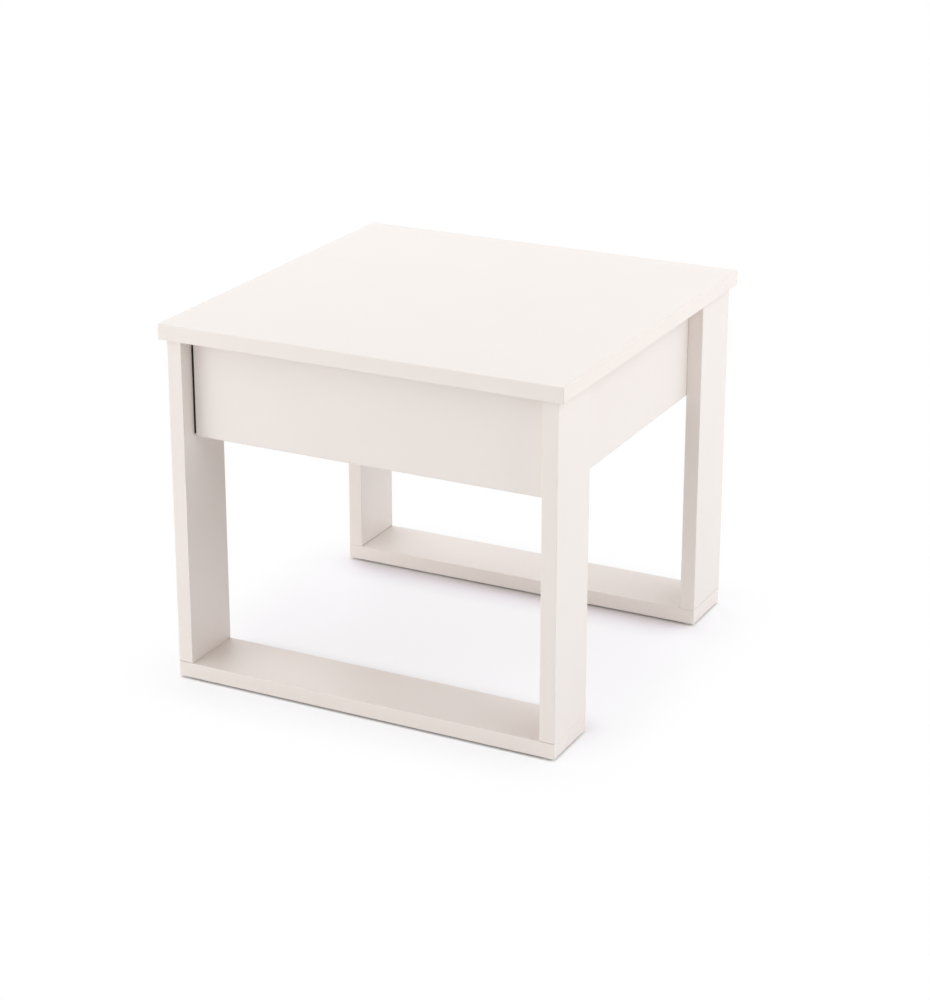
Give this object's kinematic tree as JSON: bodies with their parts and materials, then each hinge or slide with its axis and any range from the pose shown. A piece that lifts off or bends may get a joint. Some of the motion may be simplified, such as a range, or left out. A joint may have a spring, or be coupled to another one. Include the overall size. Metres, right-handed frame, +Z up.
{
  "type": "coffee table",
  "caption": "Square coffee table of laminated board with a full-width drawer under its top, on two open leg frames with flat base rails.",
  "frame": {"origin": "on the floor, under the centre of the tabletop", "axes": "+Z up, +X to the table's right as seen from the drawer side, the drawer opens towards -Y"},
  "size_m": [0.6, 0.6, 0.52],
  "materials": {
    "laminate": "satin warm off-white laminate on 18 and 22 mm particleboard, edges banded in the same colour",
    "hardboard": "thin hardboard, lacquered off-white on top and brown below",
    "beech": "plain grooved beech",
    "zinc_steel": "bright zinc plate",
    "slide_steel": "zinc-plated rolled sheet, lightly oiled",
    "ball_steel": "polished",
    "glide_plastic": "matt off-white moulded plastic",
    "bumper_rubber": "clear grey soft buffer"
  },
  "bodies": {
    "table_frame": {"tabletop": "laminate", "leg_front_left": "laminate", "leg_front_right": "laminate", "leg_rear_left": "laminate", "leg_rear_right": "laminate", "base_rail_front": "laminate", "base_rail_rear": "laminate", "glides": "glide_plastic", "side_panel_left": "laminate", "side_panel_right": "laminate", "back_panel": "laminate", "front_stretcher": "laminate", "top_brackets": "zinc_steel", "bracket_screws": "zinc_steel", "stretcher_screws": "zinc_steel", "rail_screws": "zinc_steel", "rail_dowels": "beech", "leg_top_dowels": "beech", "leg_panel_screws": "zinc_steel", "case_screws": "zinc_steel", "drawer_bumpers": "bumper_rubber", "slide_outer_left": "slide_steel", "slide_outer_right": "slide_steel", "slide_case_screws": "zinc_steel"},
    "drawer": {"drawer_front": "laminate", "drawer_side_left": "laminate", "drawer_side_right": "laminate", "drawer_back": "laminate", "drawer_bottom": "hardboard", "cam_locks": "zinc_steel", "cam_bolts": "zinc_steel", "drawer_dowels": "beech", "drawer_back_screws": "zinc_steel", "drawer_bottom_screws": "zinc_steel", "slide_inner_left": "slide_steel", "slide_inner_right": "slide_steel", "slide_drawer_screws": "zinc_steel"},
    "slide_member_left": {"slide_middle_left": "slide_steel"},
    "ball_set_outer_left": {"ball_cage_outer_left": "slide_steel", "balls_outer_left": "ball_steel"},
    "ball_set_inner_left": {"ball_cage_inner_left": "slide_steel", "balls_inner_left": "ball_steel"},
    "slide_member_right": {"slide_middle_right": "slide_steel"},
    "ball_set_outer_right": {"ball_cage_outer_right": "slide_steel", "balls_outer_right": "ball_steel"},
    "ball_set_inner_right": {"ball_cage_inner_right": "slide_steel", "balls_inner_right": "ball_steel"}
  },
  "joints": [
    {"name": "drawer_slide", "type": "slide", "parent": "table_frame", "child": "drawer", "axis": [0, -1, 0], "range_m": [0, 0.44]},
    {"name": "slide_member_left_travel", "type": "slide", "parent": "table_frame", "child": "slide_member_left", "axis": [0, -1, 0], "range_m": [0, 0.22]},
    {"name": "ball_set_outer_left_travel", "type": "slide", "parent": "table_frame", "child": "ball_set_outer_left", "axis": [0, -1, 0], "range_m": [0, 0.11]},
    {"name": "ball_set_inner_left_travel", "type": "slide", "parent": "table_frame", "child": "ball_set_inner_left", "axis": [0, -1, 0], "range_m": [0, 0.33]},
    {"name": "slide_member_right_travel", "type": "slide", "parent": "table_frame", "child": "slide_member_right", "axis": [0, -1, 0], "range_m": [0, 0.22]},
    {"name": "ball_set_outer_right_travel", "type": "slide", "parent": "table_frame", "child": "ball_set_outer_right", "axis": [0, -1, 0], "range_m": [0, 0.11]},
    {"name": "ball_set_inner_right_travel", "type": "slide", "parent": "table_frame", "child": "ball_set_inner_right", "axis": [0, -1, 0], "range_m": [0, 0.33]}
  ],
  "couplings": [
    {"joint": "slide_member_left_travel", "follows": "drawer_slide", "ratio": 0.5},
    {"joint": "ball_set_outer_left_travel", "follows": "drawer_slide", "ratio": 0.25},
    {"joint": "ball_set_inner_left_travel", "follows": "drawer_slide", "ratio": 0.75},
    {"joint": "slide_member_right_travel", "follows": "drawer_slide", "ratio": 0.5},
    {"joint": "ball_set_outer_right_travel", "follows": "drawer_slide", "ratio": 0.25},
    {"joint": "ball_set_inner_right_travel", "follows": "drawer_slide", "ratio": 0.75}
  ]
}
